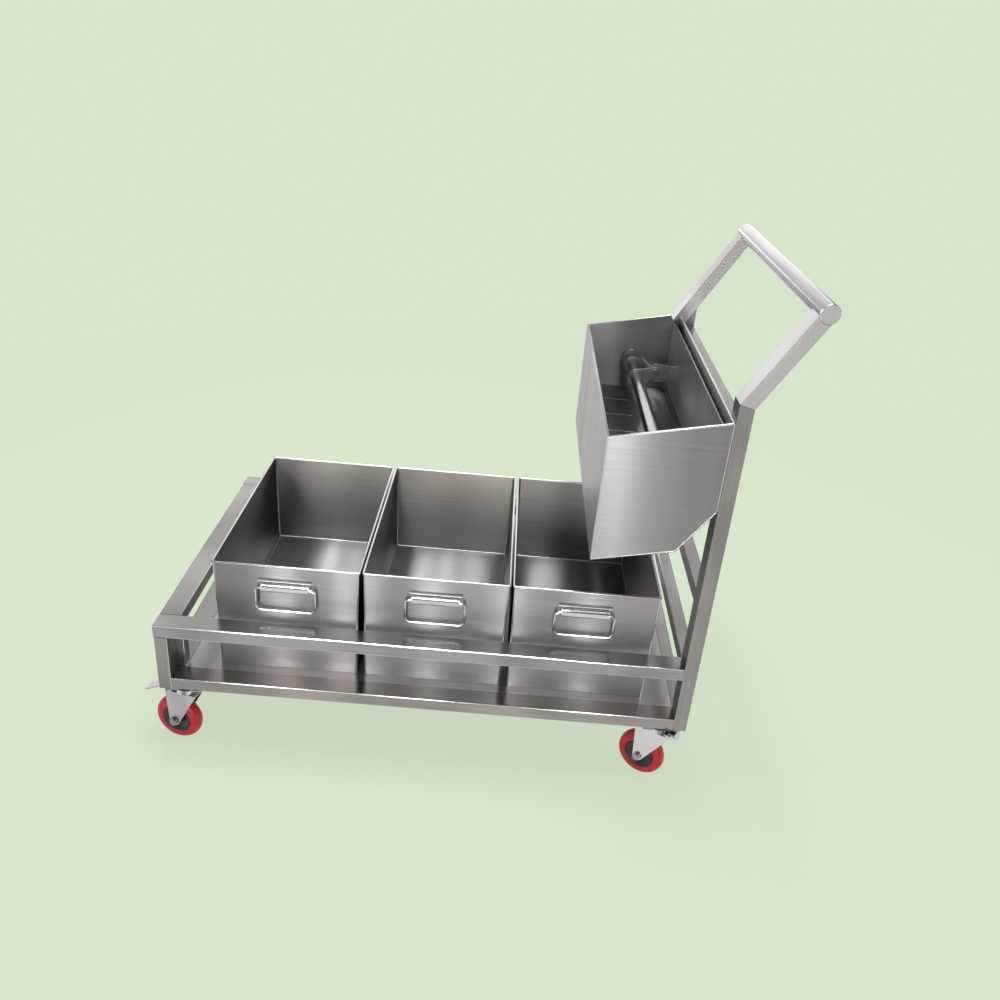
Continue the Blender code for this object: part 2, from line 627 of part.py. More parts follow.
def build_hopper():
    """The wringer's sheet hopper: open at the top, a slotted strainer inside, a skirt below it."""
    slope = RIM_FALL / HOPPER_WIDTH
    start_z = HOPPER_TOP - (HOPPER_HEIGHT - CHAMFER_HEIGHT)
    foot_right = HOPPER_RIGHT - CHAMFER_WIDTH
    foot_z = HOPPER_TOP - HOPPER_HEIGHT
    foot_left_z = foot_z - slope * (HOPPER_WIDTH - CHAMFER_WIDTH)
    outline = [(HOPPER_LEFT, HOPPER_TOP - RIM_FALL), (HOPPER_LEFT, foot_left_z), (foot_right, foot_z),
               (HOPPER_RIGHT, start_z), (HOPPER_RIGHT, HOPPER_TOP)]
    hopper = add_part("hopper", plate_mesh(outline, FRONT, BACK), BRUSHED)
    floor_top = HOPPER_TOP - STRAINER_DEPTH
    floor_low = floor_top - STRAINER_SHEET

    def room(wall, low, top_drop, top_rise=0.0):
        left = HOPPER_LEFT + wall
        right = HOPPER_RIGHT - wall
        corner_z = start_z - (right - chamfer_x(start_z, wall)) * CHAMFER_HEIGHT / CHAMFER_WIDTH
        turn = [(chamfer_x(low, wall), low), (right, corner_z)]
        if corner_z < low:
            turn = [(right, low)]
        return [(left, HOPPER_TOP - RIM_FALL - top_drop + top_rise), (left, low)] + turn + [
            (right, HOPPER_TOP - top_drop + top_rise)]

    inside = (FRONT + HOPPER_SHEET, BACK - HOPPER_SHEET)
    combine(hopper, plate_mesh(room(HOPPER_SHEET, floor_top, HOPPER_HEM_HEIGHT), *inside), "DIFFERENCE")
    hem = room(HOPPER_HEM, floor_top + OVERRUN, 0.0, OVERRUN)
    combine(hopper, plate_mesh(hem, FRONT + HOPPER_HEM, BACK - HOPPER_HEM), "DIFFERENCE")
    below = foot_left_z - OVERRUN
    skirt = [(HOPPER_LEFT + HOPPER_SHEET, floor_low), (HOPPER_LEFT + HOPPER_SHEET, below),
             (chamfer_x(below, HOPPER_SHEET), below), (chamfer_x(floor_low, HOPPER_SHEET), floor_low)]
    combine(hopper, plate_mesh(skirt, *inside), "DIFFERENCE")

    slot_room = HOPPER_WIDTH - CHAMFER_WIDTH
    slots = bmesh.new()
    for number in range(DRAIN_SLOTS):
        share = (number + 1) / (DRAIN_SLOTS + 1)
        y = FRONT + PLATFORM_WIDTH * share
        x = HOPPER_LEFT + slot_room / 2
        slots.from_mesh(box_mesh((x - DRAIN_SLOT_LENGTH / 2, y - DRAIN_SLOT_WIDTH / 2, floor_low - OVERRUN),
                                 (x + DRAIN_SLOT_LENGTH / 2, y + DRAIN_SLOT_WIDTH / 2, floor_top + OVERRUN)))
    combine(hopper, mesh_from(slots), "DIFFERENCE")

    # Collars for the shaft on both walls. The bore goes through the back wall only.
    for y_low, y_high in ((FRONT + HOPPER_SHEET / 2, FRONT + HOPPER_SHEET + COLLAR_LENGTH),
                          (BACK - HOPPER_SHEET - COLLAR_LENGTH, BACK - HOPPER_SHEET / 2)):
        combine(hopper, bar_mesh((SHAFT_X, SHAFT_Z), y_low, y_high, COLLAR_RADIUS), "UNION")
    combine(hopper, bar_mesh((SHAFT_X, SHAFT_Z), FRONT + HOPPER_SHEET, BACK + OVERRUN,
                             SHAFT_RADIUS + COLLAR_PLAY), "DIFFERENCE")
    ledge_top = press_bottom() - GAP
    ledge_x = (HOPPER_RIGHT - HOPPER_SHEET / 2 - LEDGE_WIDTH, HOPPER_RIGHT - HOPPER_SHEET / 2)
    for y_low, y_high in ((FRONT + HOPPER_SHEET / 2, FRONT + HOPPER_SHEET + LEDGE_DEPTH),
                          (BACK - HOPPER_SHEET - LEDGE_DEPTH, BACK - HOPPER_SHEET / 2)):
        combine(hopper, box_mesh((ledge_x[0], y_low, ledge_top - LEDGE_SHEET),
                                 (ledge_x[1], y_high, ledge_top)), "UNION")


def press_bottom():
    """The height of the press plate's lower edge, just above where the hopper's wall slants in."""
    return HOPPER_TOP - (HOPPER_HEIGHT - CHAMFER_HEIGHT) + PRESS_FOOT_RISE


def build_wringer():
    """Shaft with its lever, crank arms, pin, link and press plate."""
    inner_front = FRONT + HOPPER_SHEET
    inner_back = BACK - HOPPER_SHEET
    pivot = Vector((SHAFT_X, (FRONT + BACK) / 2, SHAFT_Z))
    tail_end = BACK + SHAFT_TAIL
    half = LEVER_WIDTH / 2
    shaft_place = (SHAFT_X, SHAFT_Z)
    shaft = add_part("wringer_shaft", bar_mesh(shaft_place, inner_front + GAP, tail_end, SHAFT_RADIUS),
                     POLISHED, pivot)
    # The lever is welded to the shaft's end behind the hopper and hangs down
    blade = (arc((SHAFT_X, SHAFT_Z), LEVER_EYE, 0, 180, SMALL_STEPS // 2)
             + arc((SHAFT_X, SHAFT_Z - LEVER_LENGTH + half), half, 180, 360, SMALL_STEPS // 2))
    combine(shaft, plate_mesh(blade, tail_end - LEVER_SHEET, tail_end), "UNION")

    pin_x = SHAFT_X + CRANK_RADIUS * math.cos(CRANK_ANGLE)
    pin_z = SHAFT_Z + CRANK_RADIUS * math.sin(CRANK_ANGLE)
    pin_place = (pin_x, pin_z)
    link_y = inner_back - NEAR_CRANK_INSET + CRANK_SHEET
    near_y = link_y - GAP - CRANK_SHEET
    far_y = link_y + LINK_SHEET + GAP
    ring_y = inner_back - FAR_CRANK_INSET - CRANK_SHEET
    turn = math.degrees(CRANK_ANGLE)
    flat_arm = (arc((SHAFT_X, SHAFT_Z), CRANK_RING, turn + 90, turn + 270, SMALL_STEPS // 2)
                + arc((pin_x, pin_z), CRANK_EYE, turn - 90, turn + 90, SMALL_STEPS // 2))
    near_arm = add_part("near_crank_arm", plate_mesh(flat_arm, near_y, near_y + CRANK_SHEET), BRUSHED, pivot)
    far_arm = add_part("far_crank_arm", brace_mesh((SHAFT_X, ring_y), (pin_x, far_y)), BRUSHED, pivot)
    combine(far_arm, bar_mesh(shaft_place, ring_y, ring_y + CRANK_SHEET, CRANK_RING), "UNION")
    combine(far_arm, bar_mesh(pin_place, far_y, far_y + CRANK_SHEET, CRANK_EYE, SMALL_STEPS), "UNION")
    for arm in (near_arm, far_arm):
        combine(arm, bar_mesh(shaft_place, inner_front, inner_back, SHAFT_RADIUS + GAP), "DIFFERENCE")
        combine(arm, bar_mesh(pin_place, inner_front, inner_back, PIN_RADIUS + GAP, SMALL_STEPS),
                "DIFFERENCE")

    pin_low = near_y - GAP - PIN_HEAD
    pin_high = far_y + CRANK_SHEET + GAP + PIN_HEAD
    pin = add_part("crank_pin", bar_mesh(pin_place, pin_low, pin_high, PIN_RADIUS, SMALL_STEPS), ZINC, pivot)
    for head_y in (pin_low, pin_high - PIN_HEAD):
        combine(pin, bar_mesh(pin_place, head_y, head_y + PIN_HEAD, PIN_HEAD_RADIUS, SMALL_STEPS), "UNION")

    press_right = HOPPER_RIGHT - HOPPER_SHEET - PRESS_GAP
    press_left = press_right - PRESS_SHEET
    press = add_part("press_plate", box_mesh((press_left, inner_front + PRESS_END_GAP, press_bottom()),
                                             (press_right, inner_back - PRESS_END_GAP,
                                              HOPPER_TOP - PRESS_TOP_DROP)), BRUSHED)
    foot_x = pin_x + LINK_LENGTH
    lug_right = press_right - PRESS_SHEET / 2
    combine(press, box_mesh((foot_x - LUG_EYE, far_y, pin_z - LUG_HALF_HEIGHT),
                            (lug_right, far_y + LUG_SHEET, pin_z + LUG_HALF_HEIGHT)), "UNION")
    combine(press, bar_mesh((foot_x, pin_z), link_y - GAP * 2, far_y + LUG_SHEET / 2, LUG_PIN_RADIUS,
                            SMALL_STEPS), "UNION")

    # The pin on the press plate's lug has play in the link's eye, for the link's swing
    tail = foot_x + LINK_TAIL
    outline = (arc((pin_x, pin_z), LINK_HALF_HEIGHT, 90, 270, SMALL_STEPS // 2)
               + [(tail, pin_z - LINK_TAIL_HALF_HEIGHT), (tail, pin_z + LINK_TAIL_HALF_HEIGHT)])
    link = add_part("link_plate", plate_mesh(outline, link_y, link_y + LINK_SHEET), BRUSHED,
                    Vector((pin_x, link_y, pin_z)))
    combine(link, bar_mesh(pin_place, link_y - OVERRUN, link_y + LINK_SHEET + OVERRUN, PIN_RADIUS + GAP,
                           SMALL_STEPS), "DIFFERENCE")
    combine(link, box_mesh((foot_x - LUG_PIN_RADIUS - LINK_PLAY, link_y - OVERRUN,
                            pin_z - LUG_PIN_RADIUS - LINK_RISE_PLAY),
                           (foot_x + LUG_PIN_RADIUS + GAP, link_y + LINK_SHEET + OVERRUN,
                            pin_z + LUG_PIN_RADIUS + LINK_RISE_PLAY)), "DIFFERENCE")


def brace_mesh(ring, eye):
    """The far crank arm's flat bar, bent twice in plan between the shaft's ring and the pin's eye."""
    half = Vector((0, CRANK_SHEET / 2))
    path = [Vector(ring) + half, Vector((ring[0] + CRANK_RING, ring[1])) + half,
            Vector((eye[0] - CRANK_EYE, eye[1])) + half, Vector(eye) + half]
    mesh = flat_mesh(strip_outline(path, CRANK_SHEET), SHAFT_Z - CRANK_EYE, SHAFT_Z + CRANK_EYE)
    for vertex in mesh.vertices:
        vertex.co.z += math.tan(CRANK_ANGLE) * (vertex.co.x - SHAFT_X)
    return mesh


def build_caster(corner, swivel, reach, flat, dip, side):
    """One braked swivel caster. Its own frame has the swivel axis at zero and trails to -X."""
    seat = bpy.data.objects.new(corner + "_caster_seat", None)
    seat.location = swivel
    PARTS.objects.link(seat)
    yoke = bpy.data.objects.new(corner + "_caster_yoke", None)
    yoke.location = swivel
    yoke.rotation_euler = (0, 0, -math.radians(CASTER_TURNS[corner]))
    PARTS.objects.link(yoke)
    name = corner + "_caster_"

    plate_low = -GAP - PLATE_SHEET
    race_low = plate_low - RACEWAY
    crown_top = race_low - GAP
    crown_low = crown_top - FORK_SHEET
    head_top = crown_low - GAP
    head_low = head_top - KINGPIN_HEAD
    plate_half = TUBE_DEEP / 2 - GAP
    plate = add_part(name + "plate", box_mesh((-PLATE_LENGTH / 2, -plate_half, plate_low),
                                              (PLATE_LENGTH / 2, plate_half, -GAP)), ZINC)
    for low, radius, steps in ((race_low, RACEWAY_RADIUS, ROUND_STEPS),
                               (head_low, KINGPIN_RADIUS, SMALL_STEPS)):
        combine(plate, rod_mesh((0, 0, low), (0, 0, plate_low / 2), radius, steps), "UNION")
    combine(plate, rod_mesh((0, 0, head_low), (0, 0, head_top), KINGPIN_HEAD_RADIUS, SMALL_STEPS), "UNION")

    axle_x = -CASTER_TRAIL
    axle_z = WHEEL_RADIUS - CASTER_HEIGHT
    outer = FORK_HALF_GAP + FORK_SHEET
    fork_back = axle_x - FORK_BACK
    heel = RACEWAY_RADIUS + PEDAL_RING_CLEAR
    pivot = Vector((side * (heel + PEDAL_HEEL), 0, crown_top + PEDAL_ROOM + PEDAL_SHEET / 2))
    # Two ears above the crown carry the brake pedal's pin
    ear = (pivot.x - FORK_EAR_HALF, pivot.x + FORK_EAR_HALF)
    front = max(FORK_FRONT, ear[1] + FORK_EAR_LEAD)
    leg = ([(ear[0], crown_top), (fork_back, crown_top)]
           + arc((axle_x, axle_z), FORK_BOSS, 190, 330, SMALL_STEPS // 2)
           + [(front, crown_low), (front, crown_top), (ear[1], crown_top),
              (ear[1], crown_top + FORK_EAR), (ear[0], crown_top + FORK_EAR)])
    fork = add_part(name + "fork", plate_mesh(leg, -outer, outer), ZINC)
    for low, high in ((axle_z - OVERRUN * 2, crown_low), (crown_top, crown_top + OVERRUN)):
        combine(fork, box_mesh((fork_back - OVERRUN, -FORK_HALF_GAP, low),
                               (front + OVERRUN, FORK_HALF_GAP, high)), "DIFFERENCE")
    combine(fork, rod_mesh((0, 0, crown_low - OVERRUN), (0, 0, crown_top + OVERRUN), KINGPIN_RADIUS + GAP,
                           SMALL_STEPS), "DIFFERENCE")
    axle_place = (axle_x, axle_z)
    combine(fork, bar_mesh(axle_place, -outer - OVERRUN, outer + OVERRUN, AXLE_RADIUS + GAP, SMALL_STEPS),
            "DIFFERENCE")

    bolt_end = outer + GAP + AXLE_HEAD
    bolt = add_part(name + "axle", bar_mesh(axle_place, -bolt_end, bolt_end, AXLE_RADIUS, SMALL_STEPS), ZINC)
    for head_y in (-bolt_end, bolt_end - AXLE_HEAD):
        combine(bolt, bar_mesh(axle_place, head_y, head_y + AXLE_HEAD, AXLE_HEAD_RADIUS, SMALL_STEPS),
                "UNION")

    half = WHEEL_WIDTH / 2
    web = HUB_WEB / 2
    bore = AXLE_RADIUS + GAP
    rim = HUB_RADIUS - HUB_RIM
    middle = Vector((axle_x, 0, axle_z))
    turned(name + "hub", [(HUB_RADIUS - GAP, half), (HUB_RADIUS - GAP, -half), (rim, -half),
                          (HUB_BOSS, -web), (HUB_BOSS, -half), (bore, -half), (bore, half),
                          (HUB_BOSS, half), (HUB_BOSS, web), (rim, half)], BLACK_HUB, middle, yoke)
    tread = []
    for step in range(TREAD_STEPS + 1):
        angle = math.pi * (0.5 - step / TREAD_STEPS)
        tread.append((WHEEL_RADIUS - TREAD_CROWN * (1 - math.cos(angle)), half * math.sin(angle)))
    turned(name + "tyre", tread + [(HUB_RADIUS, -half), (HUB_RADIUS, half)], RED_TYRE, middle, yoke)

    # The brake pedal is a bent strip that clears the raceway and tips on the ears
    path = [(side * heel, pivot.z), (side * flat, pivot.z), (side * reach, pivot.z - dip)]
    pedal = add_part(name + "brake_pedal", plate_mesh(strip_outline(path, PEDAL_SHEET), -PEDAL_HALF_WIDTH,
                                                      PEDAL_HALF_WIDTH), ZINC, pivot)
    pin_end = FORK_HALF_GAP - GAP
    combine(pedal, bar_mesh((pivot.x, pivot.z), -pin_end, pin_end, PEDAL_PIN_RADIUS, SMALL_STEPS), "UNION")
    if side > 0:
        bolt_x = reach - LEVER_BOLT_BACK
        bolt_z = pivot.z - LEVER_BOLT_DROP
        combine(pedal, bar_mesh((bolt_x, bolt_z), -STUB_SIDE, STUB_SIDE, LEVER_BOLT_RADIUS, SMALL_STEPS),
                "UNION")

    hang(plate, seat)
    for piece in (fork, bolt, pedal):
        hang(piece, yoke)


def build_casters():
    """Four casters under the corners: toe pedals at the left, stub levers at the right."""
    for corner in CASTER_TURNS:
        side, end = corner.split("_")
        y = FRONT + TUBE_DEEP / 2
        if side == "back":
            y = BACK - TUBE_DEEP / 2
        if end == "left":
            build_caster(corner, (LEFT + CASTER_INSET, y, BASE), TOE_PEDAL_REACH, TOE_PEDAL_FLAT,
                         TOE_PEDAL_DIP, -1)
        else:
            build_caster(corner, (RIGHT - CASTER_INSET, y, BASE), STUB_LEVER_REACH, STUB_LEVER_FLAT,
                         STUB_LEVER_DIP, 1)


build_platform()
build_uprights()
build_bins()
build_hopper()
build_wringer()
build_casters()
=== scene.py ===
import json
import math

import bmesh
import bpy
from mathutils import Matrix, Vector


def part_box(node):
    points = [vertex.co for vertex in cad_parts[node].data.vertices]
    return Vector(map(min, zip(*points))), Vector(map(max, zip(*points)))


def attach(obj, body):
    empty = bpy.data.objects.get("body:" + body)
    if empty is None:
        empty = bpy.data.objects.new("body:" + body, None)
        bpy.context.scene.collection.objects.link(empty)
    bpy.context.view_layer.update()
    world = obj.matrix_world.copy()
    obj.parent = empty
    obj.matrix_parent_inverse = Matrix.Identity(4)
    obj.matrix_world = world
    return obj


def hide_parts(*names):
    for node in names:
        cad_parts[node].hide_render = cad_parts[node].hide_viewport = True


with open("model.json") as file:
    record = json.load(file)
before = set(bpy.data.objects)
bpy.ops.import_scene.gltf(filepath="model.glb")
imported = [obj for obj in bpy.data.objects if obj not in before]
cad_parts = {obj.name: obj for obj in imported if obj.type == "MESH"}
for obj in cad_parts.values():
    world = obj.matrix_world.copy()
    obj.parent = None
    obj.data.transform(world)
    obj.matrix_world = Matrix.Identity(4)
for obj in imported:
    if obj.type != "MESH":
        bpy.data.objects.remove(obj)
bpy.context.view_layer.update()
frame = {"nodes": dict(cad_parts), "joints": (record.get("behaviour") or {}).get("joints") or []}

# The camera stands in front of the bins, a little right of the middle and above the push bar,
# and looks down on the trolley. It is tipped five degrees to one side, as the photograph is.
CAMERA_PLACE = (0.077817, -1.693252, 1.293884)
FOCAL_LENGTH = 33.2947
yaw, pitch, roll = 0.004861, 0.474513, 0.085806
forward = Vector((math.sin(yaw) * math.cos(pitch), math.cos(yaw) * math.cos(pitch), -math.sin(pitch)))
level = Vector((math.cos(yaw), -math.sin(yaw), 0))
upward = level.cross(forward)
right_hand = level * math.cos(roll) + upward * math.sin(roll)
top_side = upward * math.cos(roll) - level * math.sin(roll)
lens = bpy.data.cameras.new("camera")
lens.sensor_width = 36
lens.lens = FOCAL_LENGTH
camera = bpy.data.objects.new("camera", lens)
turn = Matrix((right_hand, top_side, -forward)).transposed().to_4x4()
camera.matrix_world = Matrix.Translation(CAMERA_PLACE) @ turn
bpy.context.scene.collection.objects.link(camera)
bpy.context.scene.camera = camera


# The floor is a wide sheet of pale green paper that keeps the trolley's soft shadow, and the
# same paper colour stands behind it. Softboxes and narrow strip lamps in a dim room light the
# steel, because bare metal shows little but what it mirrors.
def linear(code):
    """An sRGB hex colour as linear red, green, blue and alpha."""
    values = []
    for start in (1, 3, 5):
        value = int(code[start:start + 2], 16) / 255
        values.append(value / 12.92 if value <= 0.04045 else ((value + 0.055) / 1.055) ** 2.4)
    return (*values, 1.0)


def add_node(tree, kind, settings=None, inputs=None):
    """Add a node with its settings, and its inputs as values or as links from other nodes."""
    node = tree.nodes.new(kind)
    for name, value in (settings or {}).items():
        setattr(node, name, value)
    for name, value in (inputs or {}).items():
        if isinstance(value, bpy.types.NodeSocket):
            tree.links.new(value, node.inputs[name])
        else:
            node.inputs[name].default_value = value
    return node


def new_material(name):
    """An empty material with its output node."""
    material = bpy.data.materials.new(name)
    material.use_nodes = True
    material.node_tree.nodes.clear()
    return material, material.node_tree


PAPER = "#D6E4CA"
PALE_ROOM = "#DEDCDA"
ROOM_LIGHT = 0.26
SHADOW_KEPT_TO, PLAIN_FROM = 1.0, 2.6
paper, tree = new_material("pale_green_paper")
path = add_node(tree, "ShaderNodeLightPath")
tone = add_node(tree, "ShaderNodeMix", {"data_type": "RGBA"}, {
    0: path.outputs["Is Camera Ray"], 6: linear(PALE_ROOM), 7: linear(PAPER)})
sheet = add_node(tree, "ShaderNodeBsdfDiffuse", inputs={"Color": tone.outputs[2]})
glow = add_node(tree, "ShaderNodeEmission", inputs={"Color": tone.outputs[2], "Strength": 1.0})
shown = add_node(tree, "ShaderNodeMath", {"operation": "MAXIMUM"}, {
    0: path.outputs["Is Camera Ray"], 1: path.outputs["Is Glossy Ray"]})
spot = add_node(tree, "ShaderNodeTexCoord")
reach = add_node(tree, "ShaderNodeVectorMath", {"operation": "LENGTH"}, {0: spot.outputs["Object"]})
# Between 1 and 2.6 m from the trolley's middle the paper's shadow fades into one flat tone
plain = add_node(tree, "ShaderNodeMapRange", inputs={
    "Value": reach.outputs["Value"], "From Min": SHADOW_KEPT_TO, "From Max": PLAIN_FROM,
    "To Min": 0.82, "To Max": 1.0})
share = add_node(tree, "ShaderNodeMath", {"operation": "MULTIPLY"}, {
    0: shown.outputs[0], 1: plain.outputs[0]})
blend = add_node(tree, "ShaderNodeMixShader", inputs={
    0: share.outputs[0], 1: sheet.outputs[0], 2: glow.outputs[0]})
add_node(tree, "ShaderNodeOutputMaterial", inputs={"Surface": blend.outputs[0]})
bm = bmesh.new()
bmesh.ops.create_grid(bm, x_segments=1, y_segments=1, size=60)
floor_mesh = bpy.data.meshes.new("floor")
bm.to_mesh(floor_mesh)
bm.free()
floor_mesh.materials.append(paper)
floor = bpy.data.objects.new("floor", floor_mesh)
floor.location = (0, 0, -0.0005)
bpy.context.scene.collection.objects.link(floor)

bpy.context.scene.view_settings.view_transform = "Standard"
world = bpy.data.worlds.new("room")
bpy.context.scene.world = world
world.use_nodes = True
tree = world.node_tree
tree.nodes.clear()
room = add_node(tree, "ShaderNodeBackground", inputs={"Color": linear(PALE_ROOM), "Strength": ROOM_LIGHT})
seen = add_node(tree, "ShaderNodeBackground", inputs={"Color": linear(PAPER), "Strength": 1.0})
path = add_node(tree, "ShaderNodeLightPath")
blend = add_node(tree, "ShaderNodeMixShader", inputs={
    0: path.outputs["Is Camera Ray"], 1: room.outputs[0], 2: seen.outputs[0]})
add_node(tree, "ShaderNodeOutputWorld", inputs={"Surface": blend.outputs[0]})


def softbox(name, place, aim, size, power):
    """A rectangular area lamp that faces a point. The camera sees it only in the steel."""
    lamp = bpy.data.lights.new(name, "AREA")
    lamp.shape = "RECTANGLE"
    lamp.size, lamp.size_y = size
    lamp.energy = power
    box = bpy.data.objects.new(name, lamp)
    box.visible_camera = False
    run = Vector(aim) - Vector(place)
    box.matrix_world = Matrix.Translation(place) @ run.to_track_quat("-Z", "Y").to_matrix().to_4x4()
    bpy.context.scene.collection.objects.link(box)


softbox("overhead_softbox", (0.1, 0.3, 2.9), (0, 0, 0.3), (2.2, 1.2), 50)
softbox("back_softbox", (-0.3, 3.4, 1.7), (0, 0, 0.5), (5.0, 2.3), 40)
softbox("front_softbox", (0.0, -3.6, 1.4), (0, 0, 0.3), (5.0, 1.6), 13)
softbox("left_softbox", (-2.6, -1.0, 1.5), (0, 0, 0.35), (0.6, 2.0), 7)
softbox("right_softbox", (2.6, -0.6, 1.5), (0, 0, 0.4), (0.6, 1.8), 16)
# Narrow lamps, so that the level brushing shows soft upright bands and a bright patch in each bin
for number, (x, power) in enumerate(((-0.98, 10), (-0.26, 9), (0.60, 8))):
    softbox("front_strip_" + str(number), (x, -3.2, 0.7), (x / 3, 0, 0.3), (0.12, 1.2), power)
for number, (x, power) in enumerate(((-0.69, 14), (-0.17, 8), (0.36, 8))):
    softbox("ceiling_strip_" + str(number), (x, 0.1, 2.8), (x, 0.1, 0.2), (0.08, 1.4), power)


# The frame is welded from 25 x 40 mm stainless box tube, ground flush at the joints and satin
# brushed along each tube. Grinding leaves the tubes' rounded edges smoother, and their paler
# colour is partly ground wear and partly painted highlight.
WORN_EDGE_ROUGHNESS = 0.16
DRIFT_SHARE = 0.78
ROUGHNESS_SPREAD = 0.04


def brushed_steel(name, along, pale, deep, roughness, band=(6, 6, 6), stretch=0.0, edge=None, lean=0.0,
                  level=False):
    """Brushed stainless steel. Lines run the way that has the small scale in along, and the grey
    drifts in broad bands with the scales in band. Edge is the colour of the rounded edges, partly
    wear and partly painted highlight. Lean turns the pattern about Y, and level lays the grain of a
    level sheet along X."""
    material, tree = new_material(name)
    place = add_node(tree, "ShaderNodeTexCoord")
    turn = (0, math.radians(lean), 0)
    turned = add_node(tree, "ShaderNodeMapping", inputs={
        "Vector": place.outputs["Object"], "Rotation": turn})
    lay = add_node(tree, "ShaderNodeMapping", inputs={
        "Vector": turned.outputs["Vector"], "Scale": along})
    # The real lines are about 0.1 mm apart. They are drawn 4 to 8 mm apart, and faint, so they show.
    lines = add_node(tree, "ShaderNodeTexNoise", inputs={
        "Vector": lay.outputs["Vector"], "Scale": 1.0, "Detail": 2.0, "Roughness": 0.5})
    drift = add_node(tree, "ShaderNodeMapping", inputs={
        "Vector": turned.outputs["Vector"], "Scale": band})
    cloud = add_node(tree, "ShaderNodeTexNoise", inputs={
        "Vector": drift.outputs["Vector"], "Scale": 1.0, "Detail": 1.0, "Roughness": 0.4})
    both = add_node(tree, "ShaderNodeMix", {"data_type": "FLOAT"}, {
        0: DRIFT_SHARE, 2: lines.outputs["Fac"], 3: cloud.outputs["Fac"]})
    shade = add_node(tree, "ShaderNodeValToRGB", inputs={"Fac": both.outputs[0]})
    shade.color_ramp.interpolation = "EASE"
    shade.color_ramp.elements[0].position = 0.35
    shade.color_ramp.elements[0].color = linear(deep)
    shade.color_ramp.elements[1].position = 0.65
    shade.color_ramp.elements[1].color = linear(pale)
    # Roughness follows the drift alone: lines in it would fray the edge of each mirrored lamp
    rough = add_node(tree, "ShaderNodeMapRange", {"interpolation_type": "SMOOTHERSTEP"}, {
        "Value": cloud.outputs["Fac"], "From Min": 0.1, "From Max": 0.9,
        "To Min": roughness + ROUGHNESS_SPREAD, "To Max": roughness})
    colour, smooth = shade.outputs["Color"], rough.outputs[0]
    if edge:
        # A rounded edge is where the surface faces no one axis of the tube or sheet
        facing = add_node(tree, "ShaderNodeMapping", inputs={
            "Vector": place.outputs["Normal"], "Rotation": turn})
        size = add_node(tree, "ShaderNodeVectorMath", {"operation": "ABSOLUTE"}, {
            0: facing.outputs["Vector"]})
        parts = add_node(tree, "ShaderNodeSeparateXYZ", inputs={"Vector": size.outputs["Vector"]})
        most = add_node(tree, "ShaderNodeMath", {"operation": "MAXIMUM"}, {
            0: parts.outputs["X"], 1: parts.outputs["Y"]})
        most = add_node(tree, "ShaderNodeMath", {"operation": "MAXIMUM"}, {
            0: most.outputs[0], 1: parts.outputs["Z"]})
        worn = add_node(tree, "ShaderNodeMapRange", inputs={
            "Value": most.outputs[0], "From Min": 0.94, "From Max": 0.99, "To Min": 1.0, "To Max": 0.0})
        # The pale colour on the rounded edges is partly wear and partly painted highlight
        tone = add_node(tree, "ShaderNodeMix", {"data_type": "RGBA"}, {
            0: worn.outputs[0], 6: colour, 7: linear(edge)})
        finish = add_node(tree, "ShaderNodeMix", {"data_type": "FLOAT"}, {
            0: worn.outputs[0], 2: smooth, 3: WORN_EDGE_ROUGHNESS})
        colour, smooth = tone.outputs[2], finish.outputs[0]
    metal = add_node(tree, "ShaderNodeBsdfPrincipled", inputs={
        "Base Color": colour, "Metallic": 1.0, "Roughness": smooth,
        "Anisotropic": stretch, "Anisotropic Rotation": 0.25 if stretch else 0.0})
    if level:
        grain = add_node(tree, "ShaderNodeTangent", {"direction_type": "RADIAL", "axis": "Y"})
        tree.links.new(grain.outputs["Tangent"], metal.inputs["Tangent"])
    add_node(tree, "ShaderNodeOutputMaterial", inputs={"Surface": metal.outputs["BSDF"]})
    return material


def dress(material, *names):
    """Give nodes of the frame a material."""
    for name in names:
        mesh = frame["nodes"][name].data
        mesh.materials.clear()
        mesh.materials.append(material)


TUBE_PALE, TUBE_DEEP, TUBE_EDGE_WEAR_AND_HIGHLIGHT = "#ABA8A5", "#93908D", "#E6E3E0"
# Most brushed faces share one roughness. The long tubes are smoother, and mirror the bins clearly.
BRUSHED = 0.276
LONG_TUBE_ROUGHNESS = 0.20
long_tube = brushed_steel("brushed_stainless_lengthwise", (5, 260, 260), "#B9B5B2", "#9F9B98",
                          LONG_TUBE_ROUGHNESS,
                          edge=TUBE_EDGE_WEAR_AND_HIGHLIGHT)
side_tube = brushed_steel("brushed_stainless_sideways", (260, 5, 260), TUBE_PALE, TUBE_DEEP, BRUSHED,
                          edge=TUBE_EDGE_WEAR_AND_HIGHLIGHT)
tall_tube = brushed_steel("brushed_stainless_upright", (260, 260, 5), TUBE_PALE, TUBE_DEEP, BRUSHED,
                          edge=TUBE_EDGE_WEAR_AND_HIGHLIGHT)
ARM_LEAN = -30.75
lean_tube = brushed_steel("brushed_stainless_arm", (150, 150, 5), "#C8C6C5", "#AEABAA", BRUSHED,
                          edge=TUBE_EDGE_WEAR_AND_HIGHLIGHT, lean=ARM_LEAN)
dress(long_tube, "front_upper_rail", "back_upper_rail", "front_lower_rail", "back_lower_rail")
dress(side_tube, "left_upper_rail", "right_upper_rail", "left_lower_rail", "right_lower_rail",
      "rim_cross_tube", "middle_cross_tube")
dress(tall_tube, "left_front_post", "left_back_post", "left_front_side_post", "left_back_side_post",
      "front_upright", "back_upright")
dress(lean_tube, "front_arm", "back_arm")


